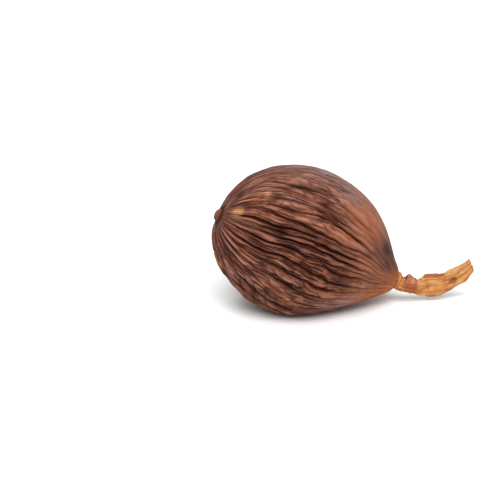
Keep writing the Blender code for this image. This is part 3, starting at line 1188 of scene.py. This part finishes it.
@dataclass(frozen=True)
class StalkForm:
    """The stalk's course and outline, as the solids have them."""

    joint_gap: float = 0.3 * MM
    stations: tuple[tuple[float, float, float, float, float], ...] = (
        (0.0, 0.0, 0.0, 1.2, 1.2),
        (0.9, 0.0, -0.5, 1.15, 1.1),
        (2.0, 0.0, -0.95, 0.95, 0.95),
        (3.2, 0.05, -1.2, 1.1, 0.95),
        (4.5, 0.1, -1.28, 1.45, 0.95),
        (6.0, 0.15, -1.05, 1.93, 0.95),
        (7.8, 0.1, -1.0, 1.85, 0.9),
        (9.7, 0.0, -0.43, 1.7, 0.9),
        (11.6, -0.2, 0.65, 1.57, 0.85),
        (12.7, -0.4, 1.35, 1.4, 0.75),
        (13.95, -0.6, 2.5, 1.1, 0.55),
    )
    ribs: int = 9
    rib_height: float = 0.12 * MM
    trough: float = 0.45 * MM
    rag: float = 0.35 * MM
    step: float = 0.01

    def station(self, pod: PodForm, share: float) -> tuple[Vector, float, float]:
        """The stalk's course, on a smooth curve.

        Args:
            pod: the pod that it grows from.
            share: the place along the stalk.

        Returns:
            The middle, the half height and the half depth there.
        """
        at = curve(self.stations, share)
        middle = pod.neck() + pod.ahead() * self.joint_gap + Vector(at[:3]) * MM
        return middle, at[3] * MM, at[4] * MM

    def frame(self, pod: PodForm, share: float) -> tuple[Vector, Vector, Vector, Vector, float, float]:
        """How the stalk lies.

        Args:
            pod: the pod that it grows from.
            share: the place along the stalk.

        Returns:
            The middle, the directions along, up and aside, the half height and the half depth there.
        """
        middle, height, depth = self.station(pod, share)
        after = self.station(pod, min(1, share + self.step))[0]
        along = after - self.station(pod, max(0, share - self.step))[0]
        along.normalize()
        if share < self.step:
            along = pod.ahead().normalized()
        aside = Vector((0, -1, 0))
        aside = (aside - along * aside.dot(along)).normalized()
        return middle, along, aside.cross(along), aside, height, depth


@dataclass(frozen=True)
class StalkFibre:
    """The stalk's finish: dry, split fibre, tan to orange, with strips of brown bark."""

    tan: Colour = (0.44, 0.200, 0.060)
    orange: Colour = (0.36, 0.115, 0.026)
    pale: Colour = (0.53, 0.285, 0.112)
    foot: Colour = (0.40, 0.135, 0.038)
    band: Colour = (0.58, 0.27, 0.13)
    bark: Colour = (0.23, 0.072, 0.018)
    shade: Colour = (0.12, 0.032, 0.009)
    gloss: float = 0.2
    roughness: float = 0.72
    strands: Grain = Grain(2600, 0.12, 4.0, 0.65)
    hairs: Grain = Grain(6500, 0.06)
    patches: Grain = Grain(560, 1.0, 4.0, 0.62)
    mottle: Reach = Reach(0.36, 0.64)
    tan_at: float = 0.5
    orange_strands: Reach = Reach(0.50, 0.28, most=0.6)
    bark_hairs: Reach = Reach(0.46, 0.28, most=0.5)
    strand_height: float = 0.6
    hair_height: float = 0.4
    bump_depth: float = 0.14 * MM
    bump: float = 0.9

    def make(self) -> bpy.types.Material:
        """Builds the material.

        Returns:
            The material.
        """
        fibre = Weave("stalk_fibre")
        grain = fibre.kept("grain", "Vector")
        strand = fibre.clouds(grain, self.strands)
        hair = fibre.clouds(grain, self.hairs)
        patch = fibre.clouds(fibre.place(), self.patches)
        base = fibre.ramp(
            fibre.spread(patch, self.mottle),
            ((0.0, self.orange), (self.tan_at, self.tan), (1.0, self.pale)),
        )
        base = fibre.mixed(fibre.spread(strand, self.orange_strands), base, self.orange)
        base = fibre.mixed(fibre.kept("pale"), base, self.pale)
        base = fibre.mixed(fibre.kept("foot"), base, self.foot)
        base = fibre.mixed(fibre.kept("band"), base, self.band)
        base = fibre.mixed(fibre.kept("bark"), base, self.bark)
        base = fibre.mixed(fibre.spread(hair, self.bark_hairs), base, self.bark)
        base = fibre.mixed(fibre.kept("shade"), base, self.shade)
        fibre.dress(base, self.roughness, self.gloss)
        height = fibre.plus(fibre.times(strand, self.strand_height), fibre.times(hair, self.hair_height))
        fibre.relief(height, self.bump_depth, self.bump)
        return fibre.material


@dataclass
class Stalk:
    """The fruit stalk: a flattened, fibrous, curved strip, torn at its far end."""

    pod: PodForm = field(default_factory=PodForm)
    form: StalkForm = field(default_factory=StalkForm)
    finish: StalkFibre = field(default_factory=StalkFibre)
    columns: int = 168
    rings: int = 250
    length: float = 14 * MM
    # Its foot is sunk into the pod, and it is split and ribbed further on.
    sunk: float = 0.9 * MM
    grown: Span = (0.15, 0.45)
    rib_start: float = 0.1
    rib_sway: float = 1.5
    rib_waves: float = 5
    trough_edge: float = 0.55
    rags: Pattern = Pattern(2, 11, 0)
    fibres: Pattern = Pattern(7, 5, 20)
    fibre_depth: float = 0.09 * MM
    fibre_start: Span = (-0.02, 0.12)
    fine_fibres: Pattern = Pattern(15, 8, 30)
    fine_fibre_depth: float = 0.05 * MM
    # A strip of bark on top, two lobes below and a knot on the side.
    strip_from: Span = (0.46, 0.49)
    strip_to: Span = (0.69, 0.74)
    strip_angle: float = math.radians(18)
    strip_width: float = 0.42
    strip_edge: Span = (0.35, 0.6)
    strip_height: float = 0.16 * MM
    lobes: tuple[tuple[float, float, float], ...] = ((0.503, 0.035, 0.30 * MM), (0.628, 0.03, 0.25 * MM))
    lobe_width: float = 0.45
    knot_share: float = 0.758
    knot_stretch: float = 16 * MM
    knot_drop: float = 0.1 * MM
    knot_side: Span = (0.2, 0.6)
    knot_radius: float = 0.46 * MM
    knot_width: float = 0.22 * MM
    knot_height: float = 0.18 * MM
    pit_width: float = 0.36 * MM
    pit_depth: float = 0.30 * MM
    # The collar and the ring at its foot, and the torn tip.
    collar_height: float = 0.75 * MM
    collar_share: float = 0.10
    collar_fall: float = 1.3
    collar_least: float = 0.15
    ring: Span = (0.035, 0.016)
    ring_depth: float = 0.10 * MM
    tip_from: float = 0.90
    tip_reach: float = 0.42 * MM
    tears: tuple[tuple[Pattern, float], ...] = (
        (Pattern(1.6, 0, 40), 0.40 * MM),
        (Pattern(5, 0, 44), 0.30 * MM),
    )
    # What the marks take from them.
    valley_from: float = 0.5
    valley_grown: float = 0.3
    foot_to: Span = (0.22, 0.46)
    foot_blotches: Pattern = Pattern(3, 9, 50)
    foot_blotch: float = 0.25
    bands: tuple[tuple[float, float, float], ...] = ((0.012, 0.014, 0.55), (0.075, 0.022, 0.65))
    band_part: float = 0.7
    band_change: float = 0.6
    grain_radius: float = 1.3 * MM
    grain_length: float = 15 * MM

    def knot(self, share: float, angle: float, height: float) -> Span:
        """The round knot on the side: how much of its rim and of its pit is at this place.

        Args:
            share: the place along the stalk.
            angle: the place round it.
            height: the stalk's half height there.

        Returns:
            The rim and the pit, each from 0 to 1.
        """
        ahead = (share - self.knot_share) * self.knot_stretch
        apart = math.hypot(ahead, height * math.cos(angle) + self.knot_drop)
        facing = ease(*self.knot_side, math.sin(angle))
        rim = bump(self.knot_radius, self.knot_width, apart)
        return facing * rim, facing * bump(0, self.pit_width, apart)

    def strip(self, share: float, angle: float) -> float:
        """1 on the strip of bark that is left on top, 0 elsewhere."""
        lengthwise = ease(*self.strip_from, share) * (1 - ease(*self.strip_to, share))
        return ease(*self.strip_edge, lengthwise * bump(self.strip_angle, self.strip_width, turned(angle)))

    def place(self, share: float, angle: float, marks: Marks) -> Vector:
        """Where a vertex goes, with its marks.

        Args:
            share: the place along the stalk, under 0 inside the husk.
            angle: the place round it, 0 on top and growing towards -Y.
            marks: the marks so far, to which this vertex's are added.

        Returns:
            The place.
        """
        form = self.form
        middle, along, up, aside, height, depth = form.frame(self.pod, max(0.0, share))
        middle = middle + along * min(0.0, share) * self.length
        grown = ease(*self.grown, share)
        ribs = math.cos(form.ribs * angle + self.rib_sway * math.sin(self.rib_waves * share))
        fibre = self.fibres.at(angle, share)
        strip = self.strip(share, angle)
        lobes = sum(far * bump(at, width, share) for at, width, far in self.lobes)
        knot, pit = self.knot(share, angle, height)
        collar = self.collar_height * min(1.0, max(0.0, 1 - share / self.collar_share)) ** self.collar_fall
        ring = bump(*self.ring, share)
        out = form.rib_height * ribs * ease(0, self.rib_start, share)
        out += self.fibre_depth * (1 - 2 * abs(fibre)) * ease(*self.fibre_start, share)
        out += self.fine_fibre_depth * self.fine_fibres.lines(angle, share)
        out += self.strip_height * strip
        out += lobes * bump(math.pi, self.lobe_width, abs(turned(angle)))
        out += self.knot_height * knot - self.pit_depth * pit
        out += collar * max(self.collar_least, math.cos(angle)) - self.ring_depth * ring
        trough = form.trough * grown * ease(self.trough_edge, 1, math.sin(angle))
        rag = form.rag * grown * self.rags.at(angle, share)
        tears = sum(far * pattern.at(angle, 0) for pattern, far in self.tears)
        tip = ease(self.tip_from, 1, share)
        valley = ease(self.valley_from, 1, 2 * abs(fibre) * ease(0, self.valley_grown, share))
        foot = 1 - ease(*self.foot_to, share + self.foot_blotch * self.foot_blotches.at(angle, share))
        bands = sum(most * bump(at, width, share) for at, width, most in self.bands)
        bands *= self.band_part + self.band_change * fibre
        features = {"pit": pit, "knot": knot, "valley": valley, "strip": strip, "ring": ring}
        features.update({"tip": tip, "foot": foot, "bands": bands})
        for name, parts in STALK_MARKS.items():
            value = sum(part * features[feature] for feature, part in parts.items())
            marks[name].append(min(1.0, max(0.0, value)))
        high = up * ((height + out + rag) * math.cos(angle))
        deep = aside * ((depth + out - trough) * math.sin(angle))
        return middle + high + deep + along * (tip * (tears + self.tip_reach * (1 + math.cos(angle))))

    def build(self) -> bpy.types.Object:
        """Makes the stalk from a UV sphere stretched along its course.

        Returns:
            The finished stalk.
        """
        bpy.ops.object.select_all(action="DESELECT")
        bpy.ops.mesh.primitive_uv_sphere_add(segments=self.columns, ring_count=self.rings, radius=MM)
        stalk = named(bpy.context.object, "stalk_fibres")
        marks: Marks = {name: [] for name in STALK_MARKS}
        grain: list[Vector] = []
        sunk = self.sunk / self.length
        for vertex in stalk.data.vertices:
            ring = round(down(vertex.co.z / MM) * self.rings)
            share = min(1.0, -sunk + (1 + sunk) * max(0.0, ring - 1) / (self.rings - 2))
            angle = math.atan2(vertex.co.y, vertex.co.x)
            place = self.place(share, angle, marks)
            if ring in (0, self.rings):
                middle, along = self.form.frame(self.pod, max(0.0, share))[:2]
                place = middle + along * (self.tip_reach if ring else -self.sunk)
            vertex.co = place
            grain.append(on_tube(self.grain_radius, angle, share * self.grain_length))
        keep(stalk, marks, grain)
        return finished(stalk, self.finish.make())


@dataclass(frozen=True)
class ScalePaper:
    """The scale's finish: thin, dry, pinkish brown, with lengthwise veins."""

    pink: Colour = (0.47, 0.22, 0.13)
    brown: Colour = (0.26, 0.090, 0.038)
    rusty: Colour = (0.25, 0.068, 0.018)
    edge: Colour = (0.50, 0.22, 0.095)
    gloss: float = 0.2
    roughness: float = 0.68
    veins: Grain = Grain(3000, 0.15)
    patches: Grain = Grain(700)
    mottle: Reach = Reach(0.35, 0.68)
    brown_veins: Reach = Reach(0.50, 0.30, most=0.6)
    edge_part: float = 0.5
    bump_depth: float = 0.08 * MM
    bump: float = 0.8

    def make(self) -> bpy.types.Material:
        """Builds the material.

        Returns:
            The material.
        """
        paper = Weave("scale_paper")
        vein = paper.clouds(paper.kept("grain", "Vector"), self.veins)
        patch = paper.clouds(paper.place(), self.patches)
        base = paper.mixed(paper.spread(patch, self.mottle), self.pink, self.brown)
        base = paper.mixed(paper.kept("rusty"), base, self.rusty)
        base = paper.mixed(paper.spread(vein, self.brown_veins), base, self.brown)
        base = paper.mixed(paper.times(paper.kept("edge"), self.edge_part), base, self.edge)
        paper.dress(base, self.roughness, self.gloss)
        paper.relief(vein, self.bump_depth, self.bump)
        return paper.material


@dataclass
class BractScale:
    """The withered scale that half wraps the stalk's foot: on top, its edge towards the pod stands up."""

    stalk: Stalk = field(default_factory=Stalk)
    finish: ScalePaper = field(default_factory=ScalePaper)
    columns: int = 96
    rows: int = 40
    start: float = 0.115
    end: float = 0.345
    first_angle: float = math.radians(-50)
    last_angle: float = math.radians(140)
    peak_lean: float = 0.055
    peak_spread: float = math.radians(40)
    peak_power: float = 1.1
    lift: float = 1.15 * MM
    rim: float = 0.20
    gap: float = 0.06 * MM
    thickness: float = 0.26 * MM
    side_rag: float = 0.06
    side_waves: float = 9
    end_rag: float = 0.10
    end_waves: float = 7
    end_fine_rag: float = 0.05
    end_fine_waves: float = 21
    crinkle: float = 0.07 * MM
    crinkle_waves: Span = (8, 2.5)
    fold: float = 0.015 * MM
    folds: float = 26
    side_edge: float = 0.03
    end_edge: float = 0.06
    rusty_from: Span = (math.radians(25), math.radians(65))
    rusty_end: float = 0.5
    grain_radius: float = 1.6 * MM
    grain_length: float = 3 * MM

    def place(self, u: float, v: float) -> Vector:
        """Where a vertex goes.

        Args:
            u: its place round the stalk, from 0 to 1.
            v: its place along it, from 0 at the edge towards the pod to 1.

        Returns:
            The place, a little outside the stalk.
        """
        ragged = self.end_rag * wander(self.end_waves * u, 8, 1)
        ragged += self.end_fine_rag * wander(self.end_fine_waves * u, 2, 1)
        angle = self.angle(u, v)
        peak = bump(0, self.peak_spread, angle) * (1 - v)
        along = v + ragged * (1 - 2 * v)
        share = self.start + along * (self.end - self.start) + self.peak_lean * peak
        on_stalk = self.stalk.place(share, angle, {name: [] for name in STALK_MARKS})
        middle = self.stalk.form.frame(self.stalk.pod, share)[0]
        across, lengthwise = self.crinkle_waves
        crinkle = self.crinkle * wander(across * u, lengthwise * v, 4)
        crinkle += self.fold * math.cos(self.folds * u)
        raised = self.lift * peak**self.peak_power * ease(-self.rim, self.rim, v)
        return on_stalk + (on_stalk - middle).normalized() * (self.gap + crinkle + raised)

    def angle(self, u: float, v: float) -> float:
        """The angle round the stalk, with the scale's ragged sides."""
        around = u + self.side_rag * wander(self.side_waves * v, 3, 5) * (2 * u - 1)
        return self.first_angle + around * (self.last_angle - self.first_angle)

    def build(self) -> bpy.types.Object:
        """Makes the scale from a grid that is curled round the stalk, then given its thickness.

        Returns:
            The finished scale.
        """
        bpy.ops.object.select_all(action="DESELECT")
        bpy.ops.mesh.primitive_grid_add(x_subdivisions=self.columns, y_subdivisions=self.rows, size=2)
        scale = named(bpy.context.object, "bract_scale_paper")
        marks: Marks = {"edge": [], "rusty": []}
        grain: list[Vector] = []
        for vertex in scale.data.vertices:
            u, v = (vertex.co.x + 1) / 2, (vertex.co.y + 1) / 2
            vertex.co = self.place(u, v)
            angle = self.angle(u, v)
            sides = max(bump(0, self.side_edge, u), bump(1, self.side_edge, u))
            ends = max(bump(0, self.end_edge, v), bump(1, self.end_edge, v))
            marks["edge"].append(max(sides, ends))
            marks["rusty"].append(max(ease(*self.rusty_from, angle), ease(self.rusty_end, 1, v)))
            grain.append(on_tube(self.grain_radius, angle, v * self.grain_length))
        keep(scale, marks, grain)
        select_only(scale)
        shell = scale.modifiers.new("thickness", "SOLIDIFY")
        shell.thickness = self.thickness
        shell.offset = 1
        bpy.ops.object.modifier_apply(modifier=shell.name)
        return finished(scale, self.finish.make())


class Softness(Enum):
    """How softly a light of the studio falls: how wide it looks from the pod, in degrees."""

    BROAD = 40
    SMALL = 20


@dataclass(frozen=True)
class Studio:
    """A plain pale floor, soft white light and the camera."""

    floor_size: float = 4.0
    floor_colour: Colour = (0.9, 0.9, 0.9)
    floor_roughness: float = 0.8
    world_light: float = 0.46
    horizon_light: float = 1.0
    horizon: Span = (0.04, 0.22)
    lights: tuple[tuple[str, Colour, Softness, float], ...] = (
        ("key", (-0.12, -0.75, 0.85), Softness.BROAD, 3.7),
        ("top", (-0.25, 0.1, 1.0), Softness.SMALL, 0.55),
    )
    azimuth: float = math.radians(-8)
    elevation: float = math.radians(17)
    pixels_per_mm: float = 5.4
    frame_pixels: float = 500
    aim_pixel: Span = (311.9, 245.6)
    lens: float = 100.0
    sensor: float = 36.0
    clip_start: float = 0.01

    def lay_floor(self) -> bpy.types.Object:
        """Makes the floor.

        Returns:
            The floor.
        """
        bpy.ops.object.select_all(action="DESELECT")
        bpy.ops.mesh.primitive_plane_add(size=self.floor_size)
        floor = named(bpy.context.object, "floor")
        ground = Weave("floor_paper")
        ground.give(ground.shader.inputs["Base Color"], self.floor_colour)
        ground.give(ground.shader.inputs["Roughness"], self.floor_roughness)
        floor.data.materials.append(ground.material)
        return floor

    def light(self, name: str, towards: Colour, softness: Softness, strength: float) -> None:
        """Hangs a far, soft light.

        Args:
            name: what it is called.
            towards: the direction from the pod to it.
            softness: how wide it looks.
            strength: how bright it is, in watts for each square metre.
        """
        made = bpy.data.lights.new(name, "SUN")
        made.angle = math.radians(softness.value)
        made.energy = strength
        lamp = bpy.data.objects.new(name, made)
        bpy.context.scene.collection.objects.link(lamp)
        lamp.rotation_euler = (-Vector(towards)).to_track_quat("-Z", "Y").to_euler()

    def fill_light(self) -> None:
        """Makes the white light from all round, brightest at the horizon."""
        world = bpy.data.worlds.new("studio")
        world.use_nodes = True
        tree = world.node_tree
        sky = tree.nodes["Background"]
        sky.inputs["Color"].default_value = (1, 1, 1, 1)
        place = tree.nodes.new("ShaderNodeTexCoord")
        split = tree.nodes.new("ShaderNodeSeparateXYZ")
        fade = tree.nodes.new("ShaderNodeMapRange")
        fade.inputs["From Min"].default_value = self.horizon[0]
        fade.inputs["From Max"].default_value = self.horizon[1]
        fade.inputs["To Min"].default_value = self.horizon_light
        fade.inputs["To Max"].default_value = self.world_light
        tree.links.new(place.outputs["Generated"], split.inputs["Vector"])
        tree.links.new(split.outputs["Z"], fade.inputs["Value"])
        tree.links.new(fade.outputs["Result"], sky.inputs["Strength"])
        bpy.context.scene.world = world

    def set_camera(self, centre: Vector) -> None:
        """Places the camera so that a point falls on the aim pixel.

        Args:
            centre: the point.
        """
        back = Vector(
            (
                math.sin(self.azimuth) * math.cos(self.elevation),
                -math.cos(self.azimuth) * math.cos(self.elevation),
                math.sin(self.elevation),
            )
        )
        turn = (-back).to_track_quat("-Z", "Y")
        right, up = turn @ Vector((1, 0, 0)), turn @ Vector((0, 1, 0))
        pixel = MM / self.pixels_per_mm
        half = self.frame_pixels / 2
        across, below = (place - half for place in self.aim_pixel)
        aim = centre - right * across * pixel + up * below * pixel
        data = bpy.data.cameras.new("camera")
        data.lens = self.lens
        data.sensor_width = self.sensor
        data.clip_start = self.clip_start
        camera = bpy.data.objects.new("camera", data)
        bpy.context.scene.collection.objects.link(camera)
        camera.location = aim + back * (self.frame_pixels * pixel / self.sensor * self.lens)
        camera.rotation_mode = "QUATERNION"
        camera.rotation_quaternion = turn
        bpy.context.scene.camera = camera

    def build(self, pod: PodForm) -> None:
        """Sets up the whole studio.

        Args:
            pod: the pod that the camera aims at.
        """
        self.lay_floor()
        self.fill_light()
        for name, towards, softness, strength in self.lights:
            self.light(name, towards, softness, strength)
        self.set_camera(pod.laid_down(0, 0, 0))
        bpy.context.scene.view_settings.view_transform = "Standard"


def show(piece: bpy.types.Object, node: str) -> None:
    """Lets the piece stand for a node of the frame, and reports it.

    Args:
        piece: the finished piece.
        node: the node it replaces, whose material slot has the same name.
    """
    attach(piece, ROOT)
    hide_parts(node)
    LOG.info("%s: %d faces, for %s", piece.name, len(piece.data.polygons), node)


def main() -> None:
    """Builds every piece and the studio."""
    logging.basicConfig(level=logging.INFO, format="%(message)s")
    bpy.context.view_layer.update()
    pod = PodForm()
    stalk = Stalk(pod)
    show(Husk(pod).build(), "husk")
    show(stalk.build(), "stalk")
    show(BractScale(stalk).build(), "bract_scale")
    Studio().build(pod)
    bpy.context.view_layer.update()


if __name__ == "__main__":
    main()
